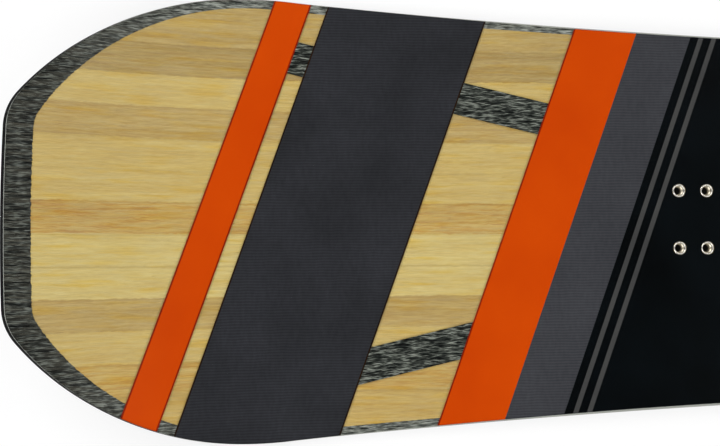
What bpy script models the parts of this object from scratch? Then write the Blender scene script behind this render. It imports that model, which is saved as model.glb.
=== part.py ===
"""Twin-tip freestyle snowboard, built up in the layers that a board press joins.

The nose points to -X, the rider's left side is +Y and the base rests on z = 0.
A height is measured square to the base, so every layer bends with the kicked tips.
"""
import math

import bmesh
import bpy

for old in list(bpy.data.objects):
    bpy.data.objects.remove(old, do_unlink=True)

# Outline: a concave sidecut, then convex arcs round the hip, shoulder and corner to a blunt tip.
# A turn is the angle of the outline's normal, from straight sideways to straight along the board.
BOARD_LENGTH = 1.550
WAIST_WIDTH = 0.248
SIDECUT_RADIUS = 7.14
HIP_RADIUS = 0.252
HIP_END_TURN = math.radians(2.8)
SHOULDER_RADIUS = 0.180
SHOULDER_END_TURN = math.radians(53.0)
CORNER_RADIUS = 0.039
CORNER_END_TURN = math.radians(88.0)

# Side profile: flat between the contact points, an arc up to a straight tip.
KICK_LENGTH = 0.200
KICK_RADIUS = 0.380
KICK_ANGLE = math.radians(24.0)

# Layers, from the base up.
BOND = 0.0003
BASE_THICKNESS = 0.0012
GLASS_THICKNESS = 0.0005
CORE_MIDDLE_THICKNESS = 0.0064
CORE_TIP_THICKNESS = 0.0016
CORE_LEVEL_HALF_LENGTH = 0.360
TOPSHEET_THICKNESS = 0.0005

# Steel edge, with its flange keyed in over the base, and the rubber foil on it.
EDGE_WIDTH = 0.0020
EDGE_FLANGE_REACH = 0.0040
EDGE_FLANGE_THICKNESS = 0.0005
RUBBER_THICKNESS = 0.0004
SIDEWALL_FOOT_INSET = 0.0002
SIDEWALL_LEAN = math.radians(24.0)

# Dark border between the wood and the outline: sidewalls, and the wider spacers round the tips.
BORDER_SIDE_WIDTH = 0.0062
BORDER_TIP_WIDTH = 0.0158
BORDER_GROWTH = 1.55

# Core strips, glued edge to edge with one on the centre line.
STRIP_WIDTH = 0.021
WEDGE_LEAST_WIDTH = 0.004

# Threaded inserts for the bindings: two packs of two rows.
STANCE_WIDTH = 0.553
INSERT_COLUMNS = 6
INSERT_COLUMN_SPACING = 0.020
INSERT_ROW_SPACING = 0.040
INSERT_BORE_RADIUS = 0.0030
INSERT_BORE_DEPTH = 0.0062
INSERT_BARREL_RADIUS = 0.0045
INSERT_FLANGE_RADIUS = 0.0085
INSERT_FLANGE_THICKNESS = 0.0010
INSERT_RECESS = 0.0002

# Diagonal reinforcing bands, inlaid in the upper glass from each hip towards the inserts.
# They start a set distance from the tip and end a set distance inside the core's level part.
BAND_WIDTH = 0.0226
BAND_TIP_DISTANCE = 0.159
BAND_LEVEL_LENGTH = 0.070
BAND_OUTER_X = BOARD_LENGTH / 2 - BAND_TIP_DISTANCE
BAND_OUTER_Y = 0.1155
BAND_INNER_X = CORE_LEVEL_HALF_LENGTH - BAND_LEVEL_LENGTH
BAND_INNER_Y = 0.0385

# Fineness of the faceted curves.
SIDECUT_LEVEL_STEPS = 3
SIDECUT_TAPER_STEPS = 2
HIP_STEPS = 3
SHOULDER_STEPS = 9
CORNER_STEPS = 4
BLUNT_STEPS = 2
KICK_STATION_STEP = 0.018
ROUND_SEGMENTS = 12
OUTER_STRIP_STEPS = 3
WEDGE_SEARCH_STEPS = 200
SIDECUT_END_ROUNDS = 30
CUTTER_REACH = 0.020
SAME_POINT = 1e-6

# Heights above the base.
LOWER_GLASS_FOOT = BASE_THICKNESS + BOND
EDGE_HEIGHT = LOWER_GLASS_FOOT + GLASS_THICKNESS
CORE_FOOT = EDGE_HEIGHT + BOND
SIDEWALL_FOOT = CORE_FOOT + RUBBER_THICKNESS + BOND

# Colour, roughness and metallic value of each material.
CLEAR_POLYAMIDE = ((0.80, 0.80, 0.76), 0.15, 0.0)
GLASS_LAMINATE = ((0.62, 0.64, 0.58), 0.35, 0.0)
POPLAR = ((0.61, 0.48, 0.17), 0.55, 0.0)
GREY_ABS = ((0.26, 0.27, 0.24), 0.50, 0.0)
BLACK_ABS = ((0.03, 0.035, 0.035), 0.45, 0.0)
SINTERED_BASE = ((0.02, 0.02, 0.025), 0.35, 0.0)
HARDENED_STEEL = ((0.55, 0.55, 0.56), 0.30, 1.0)
STAINLESS_STEEL = ((0.72, 0.71, 0.69), 0.25, 1.0)
RUBBER_FOIL = ((0.02, 0.02, 0.02), 0.80, 0.0)
GREY_FIBRE = ((0.11, 0.12, 0.11), 0.50, 0.0)


def spaced(first, last, steps):
    """Evenly spaced values from first to last, both included."""
    return [first + (last - first) * step / steps for step in range(steps + 1)]


def sidecut_point(x):
    """Point (x, y, turn) of the concave sidecut, whose normal leans back towards the middle."""
    turn = -math.asin(x / SIDECUT_RADIUS)
    return x, WAIST_WIDTH / 2 + SIDECUT_RADIUS * (1 - math.cos(turn)), turn


def arc_points(start, radius, end_turn, steps):
    """Points along the convex arc that leaves a point smoothly and turns its normal to end_turn."""
    x, y, first = start
    centre_x = x - radius * math.sin(first)
    centre_y = y - radius * math.cos(first)
    turns = spaced(first, end_turn, steps)[1:]
    return [(centre_x + radius * math.sin(turn), centre_y + radius * math.cos(turn), turn) for turn in turns]


def tip_points(sidecut_end):
    """Hip, shoulder, corner and blunt end of one quadrant, down to the centre line."""
    points = arc_points(sidecut_point(sidecut_end), HIP_RADIUS, HIP_END_TURN, HIP_STEPS)
    points += arc_points(points[-1], SHOULDER_RADIUS, SHOULDER_END_TURN, SHOULDER_STEPS)
    points += arc_points(points[-1], CORNER_RADIUS, CORNER_END_TURN, CORNER_STEPS)
    blunt_radius = points[-1][1] / math.cos(CORNER_END_TURN)
    return points + arc_points(points[-1], blunt_radius, math.pi / 2, BLUNT_STEPS)


def find_sidecut_end():
    """Where the sidecut has to end for the tip to finish at half the board's length."""
    sidecut_end = BOARD_LENGTH / 2
    for _ in range(SIDECUT_END_ROUNDS):
        sidecut_end += BOARD_LENGTH / 2 - tip_points(sidecut_end)[-1][0]
    return sidecut_end


SIDECUT_END = find_sidecut_end()
KICK_START = BOARD_LENGTH / 2 - KICK_LENGTH


def sidecut_points(end):
    """Points of the sidecut from the waist to end, with one where the core tapers and the kick starts."""
    stations = spaced(0.0, CORE_LEVEL_HALF_LENGTH, SIDECUT_LEVEL_STEPS)
    stations += spaced(CORE_LEVEL_HALF_LENGTH, end, SIDECUT_TAPER_STEPS)
    stations.append(min(KICK_START, end))
    return [sidecut_point(x) for x in sorted(set(stations))]


def mirrored_lengthwise(points):
    """A quadrant's points carried round the waist, from the nose end to the tail end."""
    nose = [(-x, y, -turn) for x, y, turn in reversed(points) if x > 0]
    return nose + points


def border_width(point):
    """Width of the dark border at a point of the outline, which grows from the hips to the tips."""
    x, _, turn = point
    share = min(max(turn * math.copysign(1.0, x) / SHOULDER_END_TURN, 0.0), 1.0)
    return BORDER_SIDE_WIDTH + (BORDER_TIP_WIDTH - BORDER_SIDE_WIDTH) * share ** BORDER_GROWTH


def inset(point, distance):
    """A point moved in from the outline, square to it."""
    x, y, turn = point
    return x - math.sin(turn) * distance, y - math.cos(turn) * distance


QUADRANT = sidecut_points(SIDECUT_END) + tip_points(SIDECUT_END)
LEFT_OUTLINE = mirrored_lengthwise(QUADRANT)
WOOD_OUTLINE = [inset(point, border_width(point)) for point in QUADRANT]


def bend(x, y, height):
    """Place a plan point at a height square to the base, which curves up beyond the contact points."""
    past = max(abs(x) - KICK_START, 0.0)
    arc_reach = KICK_RADIUS * math.sin(KICK_ANGLE)
    slope = math.asin(min(past, arc_reach) / KICK_RADIUS)
    rise = KICK_RADIUS * (1 - math.cos(slope)) + max(past - arc_reach, 0.0) * math.tan(slope)
    return x - math.copysign(math.sin(slope) * height, x), y, rise + math.cos(slope) * height


def core_top(x):
    """Height of the core's upper face: level in the middle, then tapering to the sidecut's end."""
    share = (abs(x) - CORE_LEVEL_HALF_LENGTH) / (SIDECUT_END - CORE_LEVEL_HALF_LENGTH)
    share = min(max(share, 0.0), 1.0)
    return CORE_FOOT + CORE_MIDDLE_THICKNESS + (CORE_TIP_THICKNESS - CORE_MIDDLE_THICKNESS) * share


def upper_glass_foot(x):
    """Height of the upper glass layer's lower face."""
    return core_top(x) + BOND


def upper_glass_top(x):
    """Height of the upper glass layer's upper face."""
    return upper_glass_foot(x) + GLASS_THICKNESS


def topsheet_foot(x):
    """Height of the topsheet's lower face."""
    return upper_glass_top(x) + BOND


def topsheet_top(x):
    """Height of the board's upper face."""
    return topsheet_foot(x) + TOPSHEET_THICKNESS


def add_object(name, mesh, finish):
    """Link a mesh as a named object with a material of its own."""
    color, roughness, metallic = finish
    material = bpy.data.materials.new(name)
    material.use_nodes = True
    shader = material.node_tree.nodes["Principled BSDF"]
    shader.inputs["Base Color"].default_value = (*color, 1.0)
    shader.inputs["Roughness"].default_value = roughness
    shader.inputs["Metallic"].default_value = metallic
    obj = bpy.data.objects.new(name, mesh)
    bpy.context.collection.objects.link(obj)
    if not mesh.materials:
        mesh.materials.append(None)
    obj.material_slots[0].link = "OBJECT"
    obj.material_slots[0].material = material
    return obj


def add_loft(mesh_bm, sections):
    """Add a closed shape through equal rings of points, with both ends capped."""
    rings = [[mesh_bm.verts.new(point) for point in section] for section in sections]
    count = len(rings[0])
    for ring, following in zip(rings, rings[1:]):
        for i in range(count):
            j = (i + 1) % count
            mesh_bm.faces.new((ring[i], ring[j], following[j], following[i]))
    mesh_bm.faces.new(rings[0])
    mesh_bm.faces.new(rings[-1])


def finished_mesh(name, mesh_bm):
    """Turn a bmesh into a mesh, with doubled points merged and its faces pointing out."""
    bmesh.ops.remove_doubles(mesh_bm, verts=mesh_bm.verts, dist=SAME_POINT)
    bmesh.ops.recalc_face_normals(mesh_bm, faces=mesh_bm.faces)
    mesh = bpy.data.meshes.new(name)
    mesh_bm.to_mesh(mesh)
    mesh_bm.free()
    return mesh


def loft_mesh(name, sections):
    """Closed mesh through equal rings of points."""
    mesh_bm = bmesh.new()
    add_loft(mesh_bm, sections)
    return finished_mesh(name, mesh_bm)


def sheet_sections(rows, foot, top):
    """Bent four-cornered sections of a layer, one for each row (x, y from, y to)."""
    sections = []
    for x, y_from, y_to in rows:
        lower, upper = foot(x), top(x)
        corners = ((y_from, lower), (y_to, lower), (y_to, upper), (y_from, upper))
        sections.append([bend(x, y, height) for y, height in corners])
    return sections


def sheet(name, rows, foot, top, finish):
    """Layer between two heights that may change along the board."""
    return add_object(name, loft_mesh(name, sheet_sections(rows, foot, top)), finish)


def full_width_rows(inset_at):
    """Rows across the board, at its outline moved in by the distance that inset_at gives for each point."""
    points = [inset(point, inset_at(point)) for point in LEFT_OUTLINE]
    return [(x, -y, y) for x, y in points]


def rim(name, points, profile, side, finish):
    """Piece along the outline: a profile of (inset, height) carried square to it."""
    sections = []
    for point in points:
        ring = []
        for distance, height in profile(point):
            x, y = inset(point, distance)
            ring.append(bend(x, side * max(y, BOND / 2), height))
        sections.append(ring)
    return add_object(name, loft_mesh(name, sections), finish)


def edge_profile(_point):
    """Square rail with a thin flange that reaches in over the base."""
    flange_end = EDGE_WIDTH + EDGE_FLANGE_REACH
    flange_foot = EDGE_HEIGHT - EDGE_FLANGE_THICKNESS
    return (
        (0.0, 0.0),
        (0.0, EDGE_HEIGHT),
        (flange_end, EDGE_HEIGHT),
        (flange_end, flange_foot),
        (EDGE_WIDTH, flange_foot),
        (EDGE_WIDTH, 0.0),
    )


def rubber_profile(point):
    """Flat foil on the edge, as wide as the sidewall above it."""
    inner = border_width(point) - BOND
    top = CORE_FOOT + RUBBER_THICKNESS
    return (SIDEWALL_FOOT_INSET, CORE_FOOT), (SIDEWALL_FOOT_INSET, top), (inner, top), (inner, CORE_FOOT)


def sidewall_top_inset(point):
    """How far in the sidewall's top lies, after it leans in over its height at a point of the outline."""
    return SIDEWALL_FOOT_INSET + math.tan(SIDEWALL_LEAN) * (core_top(point[0]) - SIDEWALL_FOOT)


def border_profile(point, foot):
    """Border beside the wood, with an outer face that leans in towards the topsheet."""
    inner = border_width(point) - BOND
    outer = sidewall_top_inset(point)
    top = core_top(inset(point, outer)[0])
    inner_top = core_top(inset(point, inner)[0])
    return (SIDEWALL_FOOT_INSET, foot), (outer, top), (inner, inner_top), (inner, foot)


def sidewall_profile(point):
    """Border section on the rubber foil."""
    return border_profile(point, SIDEWALL_FOOT)


def spacer_profile(point):
    """Border section straight on the edge."""
    return border_profile(point, CORE_FOOT)


def build_rims():
    """Steel edges, rubber foils and sidewalls, one of each on either side."""
    sidewall_points = mirrored_lengthwise(sidecut_points(SIDECUT_END - BOND))
    for name, side in (("left", 1), ("right", -1)):
        rim("steel_edge_" + name, LEFT_OUTLINE, edge_profile, side, HARDENED_STEEL)
        rim("rubber_strip_" + name, sidewall_points, rubber_profile, side, RUBBER_FOIL)
        rim("sidewall_" + name, sidewall_points, sidewall_profile, side, GREY_ABS)


def build_spacer(name, end):
    """Border round one tip, from sidewall to sidewall: end is -1 at the nose and 1 at the tail."""
    quarter = [point for point in QUADRANT if point[0] >= SIDECUT_END - SAME_POINT]
    sections = []
    for side, points in ((1, quarter), (-1, list(reversed(quarter[:-1])))):
        for point in points:
            ring = []
            for distance, height in spacer_profile(point):
                x, y = inset(point, distance)
                ring.append(bend(end * x, side * y, height))
            sections.append(ring)
    add_object(name, loft_mesh(name, sections), BLACK_ABS)


def wood_half_width(x):
    """Half width of the core at x, along the straight stretches between its outline's points."""
    for (x_a, y_a), (x_b, y_b) in zip(WOOD_OUTLINE, WOOD_OUTLINE[1:]):
        if x_a <= x <= x_b:
            return y_a + (y_b - y_a) * (x - x_a) / (x_b - x_a)
    return 0.0


def wood_reach(y):
    """How far along the board the core reaches at a distance y from the centre line."""
    reach = WOOD_OUTLINE[-1][0]
    for (x_a, y_a), (x_b, y_b) in zip(WOOD_OUTLINE, WOOD_OUTLINE[1:]):
        if y_b <= y < y_a:
            reach = x_a + (x_b - x_a) * (y_a - y) / (y_a - y_b)
    return reach


def wedge_start(y_inner):
    """Where the core grows wide enough for a wedge outside y_inner."""
    for x in spaced(0.0, SIDECUT_END, WEDGE_SEARCH_STEPS):
        if wood_half_width(x) - y_inner >= WEDGE_LEAST_WIDTH:
            return max(x, BOND)
    return SIDECUT_END


def kick_stations(end):
    """Distances from the waist at which a piece needs a row to follow the kick, up to its end."""
    return spaced(KICK_START, end, max(int((end - KICK_START) / KICK_STATION_STEP), 1))


def strip_stations(y_inner, y_outer):
    """Distances from the waist at which a strip needs a row, up to the strip's own end."""
    end = wood_reach(y_inner)
    stations = [0.0, CORE_LEVEL_HALF_LENGTH, SIDECUT_END]
    stations += kick_stations(end)
    stations += [x for x, y in WOOD_OUTLINE if y_inner < y < y_outer]
    stations += [wood_reach(y_outer), end]
    return sorted(x for x in set(stations) if x <= end)


def strip_rows(y_inner, y_outer, outermost, start):
    """Rows of a strip on one half of the board, clipped by the wood's outline."""
    rows = []
    for x in strip_stations(y_inner, y_outer):
        limit = wood_half_width(x) if x < wood_reach(y_inner) else y_inner
        rows.append((x, y_inner, max(min(y_outer, limit), y_inner)))
    if outermost:
        middle = spaced(0.0, start - BOND, OUTER_STRIP_STEPS)
        rows = [row for row in rows if row[0] > start]
        rows = [(x, y_inner, wood_half_width(x)) for x in middle] + [(start, y_inner, y_outer)] + rows
    return rows


def whole_length(rows):
    """Rows of one half of the board mirrored to the other half."""
    return [(-x, y_from, y_to) for x, y_from, y_to in reversed(rows) if x > 0] + rows


def build_core():
    """Full-length strips, then four wedges where the core is wider than they reach."""
    strips = []
    half = STRIP_WIDTH / 2
    rows = [(x, -y_to, y_to) for x, _, y_to in strip_rows(0.0, half, False, 0.0)]
    centre = sheet("core_strip_centre", whole_length(rows), constant(CORE_FOOT), core_top, POPLAR)
    strips.append((centre, half))
    count = int((WOOD_OUTLINE[0][1] - half) / STRIP_WIDTH)
    for name, side in (("left", 1), ("right", -1)):
        for number in range(1, count + 1):
            y_outer = half + number * STRIP_WIDTH
            start = wedge_start(y_outer)
            rows = strip_rows(y_outer - STRIP_WIDTH, y_outer, number == count, start)
            rows = [(x, side * y_from, side * y_to) for x, y_from, y_to in whole_length(rows)]
            strip = sheet(f"core_strip_{name}_{number}", rows, constant(CORE_FOOT), core_top, POPLAR)
            strips.append((strip, y_outer))
        for end_name, end in (("nose", -1), ("tail", 1)):
            build_wedge(f"core_wedge_{end_name}_{name}", half + count * STRIP_WIDTH, end, side)
    return strips


def build_wedge(name, y_inner, end, side):
    """Tapered outer piece of the core, from the thin end at the waist to the shoulder."""
    start = wedge_start(y_inner)
    outline = [(x, y) for x, y in WOOD_OUTLINE if x > start and y > y_inner]
    rows = [(start, y_inner, wood_half_width(start))]
    rows += [(x, y_inner, y) for x, y in outline]
    rows += [(KICK_START, y_inner, wood_half_width(KICK_START)), (wood_reach(y_inner), y_inner, y_inner)]
    rows = sorted(set(rows))
    rows = [(end * x, side * y_from, side * y_to) for x, y_from, y_to in rows]
    sheet(name, rows, constant(CORE_FOOT), core_top, POPLAR)


def ring_points(radius, height, x, y):
    """Points of a regular polygon with a corner at 45 degrees."""
    angles = [math.pi * (2 * step + 1) / ROUND_SEGMENTS for step in range(ROUND_SEGMENTS)]
    return [(x + radius * math.cos(angle), y + radius * math.sin(angle), height) for angle in angles]


def turned_faces(mesh_bm, profile, x=0.0, y=0.0):
    """Add a closed turned shape to a mesh: rings at (radius, height), capped at both ends."""
    rings = []
    for radius, height in profile:
        rings.append([mesh_bm.verts.new(point) for point in ring_points(radius, height, x, y)])
    for lower, upper in zip(rings, rings[1:]):
        for i in range(ROUND_SEGMENTS):
            j = (i + 1) % ROUND_SEGMENTS
            mesh_bm.faces.new((lower[i], lower[j], upper[j], upper[i]))
    mesh_bm.faces.new(rings[0])
    mesh_bm.faces.new(rings[-1])


def insert_places():
    """Name and place of each insert: pack at nose or tail, row left or right, column from the nose."""
    places = []
    for pack, pack_x in (("nose", -STANCE_WIDTH / 2), ("tail", STANCE_WIDTH / 2)):
        for row, row_y in (("left", INSERT_ROW_SPACING / 2), ("right", -INSERT_ROW_SPACING / 2)):
            for column in range(INSERT_COLUMNS):
                x = pack_x + (column - (INSERT_COLUMNS - 1) / 2) * INSERT_COLUMN_SPACING
                places.append((f"insert_{pack}_{row}_{column + 1}", x, row_y))
    return places


def build_inserts():
    """Threaded inserts: a barrel with a blind bore on a wide flange under the core."""
    length = topsheet_top(0.0) - INSERT_RECESS - CORE_FOOT
    profile = (
        (INSERT_FLANGE_RADIUS, 0.0),
        (INSERT_FLANGE_RADIUS, INSERT_FLANGE_THICKNESS),
        (INSERT_BARREL_RADIUS, INSERT_FLANGE_THICKNESS),
        (INSERT_BARREL_RADIUS, length),
        (INSERT_BORE_RADIUS, length),
        (INSERT_BORE_RADIUS, length - INSERT_BORE_DEPTH),
    )
    mesh_bm = bmesh.new()
    turned_faces(mesh_bm, profile)
    mesh = finished_mesh("threaded_insert", mesh_bm)
    for name, x, y in insert_places():
        insert = add_object(name, mesh, STAINLESS_STEEL)
        insert.location = (x, y, CORE_FOOT)


def insert_cutter():
    """Stepped holes for all the inserts, open above and below."""
    seat_top = CORE_FOOT + INSERT_FLANGE_THICKNESS + BOND
    profile = (
        (INSERT_FLANGE_RADIUS + BOND, 0.0),
        (INSERT_FLANGE_RADIUS + BOND, seat_top),
        (INSERT_BARREL_RADIUS + BOND, seat_top),
        (INSERT_BARREL_RADIUS + BOND, CUTTER_REACH),
    )
    mesh_bm = bmesh.new()
    for _, x, y in insert_places():
        turned_faces(mesh_bm, profile, x, y)
    return add_cutter("insert_cutter", finished_mesh("insert_cutter", mesh_bm))


def add_cutter(name, mesh):
    """Link a mesh as a cutter that is never rendered."""
    cutter = bpy.data.objects.new(name, mesh)
    bpy.context.collection.objects.link(cutter)
    cutter.hide_render = True
    cutter.display_type = "WIRE"
    return cutter


def cut(obj, cutter):
    """Take a cutter's shape out of a piece."""
    modifier = obj.modifiers.new("cut_" + cutter.name, "BOOLEAN")
    modifier.operation = "DIFFERENCE"
    modifier.solver = "EXACT"
    modifier.object = cutter


def band_corners(clearance):
    """Corners of a band's square-ended outline at the tail's left side, grown by a clearance."""
    run_x, run_y = BAND_OUTER_X - BAND_INNER_X, BAND_OUTER_Y - BAND_INNER_Y
    length = math.hypot(run_x, run_y)
    along_x, along_y = run_x / length, run_y / length
    half = BAND_WIDTH / 2 + clearance
    corners = []
    for x, y, ahead, aside in (
        (BAND_INNER_X, BAND_INNER_Y, -clearance, -half),
        (BAND_OUTER_X, BAND_OUTER_Y, clearance, -half),
        (BAND_OUTER_X, BAND_OUTER_Y, clearance, half),
        (BAND_INNER_X, BAND_INNER_Y, -clearance, half),
    ):
        corners.append((x + along_x * ahead - along_y * aside, y + along_y * ahead + along_x * aside))
    return corners


def crossing(x, start, end):
    """Height y at which the line between two corners passes x, or None beside them."""
    if not min(start[0], end[0]) - SAME_POINT <= x <= max(start[0], end[0]) + SAME_POINT:
        return None
    return start[1] + (end[1] - start[1]) * (x - start[0]) / (end[0] - start[0])


def band_rows(clearance):
    """Rows across a band, at its corners and where the layers under it change slope."""
    corners = band_corners(clearance)
    sides = list(zip(corners, corners[1:] + corners[:1]))
    first, last = min(x for x, _ in corners), max(x for x, _ in corners)
    breaks = [CORE_LEVEL_HALF_LENGTH, SIDECUT_END] + kick_stations(last)
    stations = {x for x in breaks if first < x < last} | {x for x, _ in corners}
    rows = []
    for x in sorted(stations):
        crossings = [crossing(x, start, end) for start, end in sides]
        heights = [y for y in crossings if y is not None]
        rows.append((x, min(heights), max(heights)))
    return rows


def build_bands():
    """Four diagonal bands, level with the upper glass, and the cutter for their slots."""
    cutter_bm = bmesh.new()
    for end_name, end in (("nose", -1), ("tail", 1)):
        for name, side in (("left", 1), ("right", -1)):
            rows = [(end * x, side * y_from, side * y_to) for x, y_from, y_to in band_rows(0.0)]
            sheet(f"diagonal_band_{end_name}_{name}", rows, upper_glass_foot, upper_glass_top, GREY_FIBRE)
            rows = [(end * x, side * y_from, side * y_to) for x, y_from, y_to in band_rows(BOND)]
            add_loft(cutter_bm, sheet_sections(rows, core_top, topsheet_foot))
    return add_cutter("band_cutter", finished_mesh("band_cutter", cutter_bm))


def constant(value):
    """Height or distance that is the same all along the board."""
    return lambda _place: value


def build_sheets():
    """Base, lower glass, upper glass and topsheet; the two upper ones are returned for cutting."""
    base_rows = full_width_rows(constant(EDGE_WIDTH + BOND))
    sheet("base", base_rows, constant(0.0), constant(BASE_THICKNESS), SINTERED_BASE)
    lower_rows = full_width_rows(constant(EDGE_WIDTH + EDGE_FLANGE_REACH + BOND))
    sheet("lower_glass", lower_rows, constant(LOWER_GLASS_FOOT), constant(EDGE_HEIGHT), GLASS_LAMINATE)
    top_rows = full_width_rows(sidewall_top_inset)
    upper_glass = sheet("upper_glass", top_rows, upper_glass_foot, upper_glass_top, GLASS_LAMINATE)
    topsheet = sheet("topsheet", top_rows, topsheet_foot, topsheet_top, CLEAR_POLYAMIDE)
    return upper_glass, topsheet


def main():
    """Build the board from the base up."""
    upper_glass, topsheet = build_sheets()
    build_rims()
    build_spacer("nose_spacer", -1)
    build_spacer("tail_spacer", 1)
    strips = build_core()
    build_inserts()
    insert_holes = insert_cutter()
    cut(upper_glass, insert_holes)
    cut(topsheet, insert_holes)
    seat_reach = INSERT_FLANGE_RADIUS + BOND
    for strip, y_outer in strips:
        y_inner = y_outer - STRIP_WIDTH
        row_y = INSERT_ROW_SPACING / 2
        if y_inner < row_y + seat_reach and y_outer > row_y - seat_reach:
            cut(strip, insert_holes)
    cut(upper_glass, build_bands())


main()
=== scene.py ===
"""Twin-tip snowboard on a white studio floor: a clear topsheet over print, glass laminate and a wood core.

Every piece is worked out from the board's own sizes in metres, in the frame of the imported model.
The nose points to -X and the running base rests on z = 0. A height is measured square to the base,
so that every layer bends with the kicked tips.
"""

import math

import bmesh
import bpy
import numpy as np
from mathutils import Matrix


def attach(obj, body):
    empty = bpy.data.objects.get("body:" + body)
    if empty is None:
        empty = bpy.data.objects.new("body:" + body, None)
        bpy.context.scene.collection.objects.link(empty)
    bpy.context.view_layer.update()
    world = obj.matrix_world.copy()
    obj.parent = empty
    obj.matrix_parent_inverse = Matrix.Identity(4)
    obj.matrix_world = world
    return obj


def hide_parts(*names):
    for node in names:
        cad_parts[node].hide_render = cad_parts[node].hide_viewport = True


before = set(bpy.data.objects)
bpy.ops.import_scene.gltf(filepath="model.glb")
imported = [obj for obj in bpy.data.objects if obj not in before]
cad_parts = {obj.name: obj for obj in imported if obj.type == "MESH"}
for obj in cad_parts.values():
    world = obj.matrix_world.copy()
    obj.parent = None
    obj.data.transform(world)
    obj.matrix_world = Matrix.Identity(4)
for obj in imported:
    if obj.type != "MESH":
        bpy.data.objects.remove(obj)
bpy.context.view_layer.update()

# Outline: a concave sidecut, then convex arcs round the hip, shoulder and corner to a blunt tip.
# A turn is the angle of the outline's normal, from straight sideways to straight along the board.
BOARD_LENGTH = 1.550
WAIST_WIDTH = 0.248
SIDECUT_RADIUS = 7.14
HIP_RADIUS = 0.252
HIP_END_TURN = math.radians(2.8)
SHOULDER_RADIUS = 0.180
SHOULDER_END_TURN = math.radians(53.0)
CORNER_RADIUS = 0.039
CORNER_END_TURN = math.radians(88.0)

# Side profile: flat between the contact points, an arc up to a straight tip.
KICK_START = BOARD_LENGTH / 2 - 0.200
KICK_RADIUS = 0.380
KICK_ANGLE = math.radians(24.0)

# Layers, from the base up.
BOND = 0.0003
BASE_THICKNESS = 0.0012
GLASS_THICKNESS = 0.0005
CORE_MIDDLE_THICKNESS = 0.0064
CORE_TIP_THICKNESS = 0.0016
CORE_LEVEL_HALF_LENGTH = 0.360
TOPSHEET_THICKNESS = 0.0005
LOWER_GLASS_FOOT = BASE_THICKNESS + BOND
EDGE_HEIGHT = LOWER_GLASS_FOOT + GLASS_THICKNESS
CORE_FOOT = EDGE_HEIGHT + BOND
RUBBER_THICKNESS = 0.0004
RUBBER_TOP = CORE_FOOT + RUBBER_THICKNESS
SIDEWALL_FOOT = RUBBER_TOP + BOND

# Heights above the core's upper face.
UPPER_GLASS_FOOT = BOND
UPPER_GLASS_TOP = UPPER_GLASS_FOOT + GLASS_THICKNESS
TOPSHEET_FOOT = UPPER_GLASS_TOP + BOND
TOPSHEET_TOP = TOPSHEET_FOOT + TOPSHEET_THICKNESS

# Steel edge, whose black scale sets in gradually at the tips, and the dark border inside it.
EDGE_WIDTH = 0.0020
EDGE_FLANGE_REACH = 0.0040
EDGE_FLANGE_THICKNESS = 0.0005
EDGE_CHAMFER = 0.00015
EDGE_SCALE_FADE = 0.03
SIDEWALL_FOOT_INSET = 0.0002
SIDEWALL_LEAN = math.radians(24.0)
TIP_BEVEL = 0.0005
BORDER_SIDE_WIDTH = 0.0062
BORDER_TIP_WIDTH = 0.0158
BORDER_GROWTH = 1.55

# Fibre cloth over the border: heights above the core, how far both its edges lie inwards of the
# border's, how far its inner edge is frayed, and from where to where along the board it thins out.
CLOTH_FOOT = 0.00005
CLOTH_TOP = 0.00015
CLOTH_OFFSET = 0.0002
TIP_FRAY = 0.0004
SIDE_FRAY = 0.00018
CLOTH_FULL_FROM = 0.745
CLOTH_THIN_UP_TO = 0.655

# Core strips.
STRIP_WIDTH = 0.021
WEDGE_LEAST_WIDTH = 0.004
STRIPS_EACH_SIDE = 5

# Threaded inserts, and the cutter that opens every layer round them.
STANCE_WIDTH = 0.553
INSERT_COLUMNS = 6
INSERT_COLUMN_SPACING = 0.020
INSERT_ROW_SPACING = 0.040
INSERT_BARREL_RADIUS = 0.0045
INSERT_FLANGE_RADIUS = 0.0085
INSERT_FLANGE_THICKNESS = 0.0010
INSERT_BORE_DEPTH = 0.0062
INSERT_RECESS = 0.0002
INSERT_LIP_RADIUS = 0.00048
INSERT_COUNTERBORE_DEPTH = 0.0022
INSERT_EASING = 0.0003
THREAD_PITCH = 0.0010
THREAD_ROOT_RADIUS = 0.0030
THREAD_CREST_RADIUS = 0.0026
CUTTER_FOOT = -0.001
CUTTER_TOP = 0.014

# Diagonal fibre bands. The cutter of their slots stays clear of the core and the topsheet.
BAND_WIDTH = 0.0226
BAND_OUTER = np.array((0.616, 0.1155))
BAND_INNER = np.array((0.290, 0.0385))
SLOT_MARGIN = 0.0001

# Print on the topsheet's underside: (name, finish, first and last x at the centre line).
# Every bar leans by PRINT_SLANT of its distance from the centre line and ends a margin inside the
# topsheet, and the tail repeats the nose turned half round. Keylines lie a step under the bars, and
# pinstripes a step above; a keyline is a dark rim round a bar, partly print and partly painted shadow
# of the bar's edge. A bar can only meet an insert whose x is near its own.
PRINT_SLANT = 0.36
PRINT_MARGIN = 0.0001
INK_THICKNESS = 0.00005
INK_STEP = 0.00008
INK_CLEARANCE = 0.00012
PRINT_FOOT = UPPER_GLASS_TOP + INK_CLEARANCE
NEAR_INSERT = 0.02
PRINT_BARS = (
    ("orange_slim", "orange", -0.660, -0.636),
    ("charcoal_wide", "charcoal", -0.622, -0.512),
    ("orange_broad", "orange", -0.446, -0.402),
    ("slate_narrow", "slate", -0.402, -0.362),
    ("black_field", "black", -0.362, -0.196),
    ("grey_slim", "grey", -0.196, -0.188),
)
PRINT_MIDDLE = ("slate_middle", "slate", -0.188, 0.188)
PINSTRIPES = (-0.3560, -0.3465, -0.211)
PINSTRIPE_WIDTH = 0.0035
# Keylines: dark rims round the orange and charcoal bars, partly print and partly painted shadow of the bars'
# edges.
KEYLINE_AND_SHADOW_WIDTH = 0.0011

# Left and right by the sign of y, nose and tail by the sign of x.
SIDES = (("left", 1), ("right", -1))
ENDS = (("nose", -1), ("tail", 1))

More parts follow.
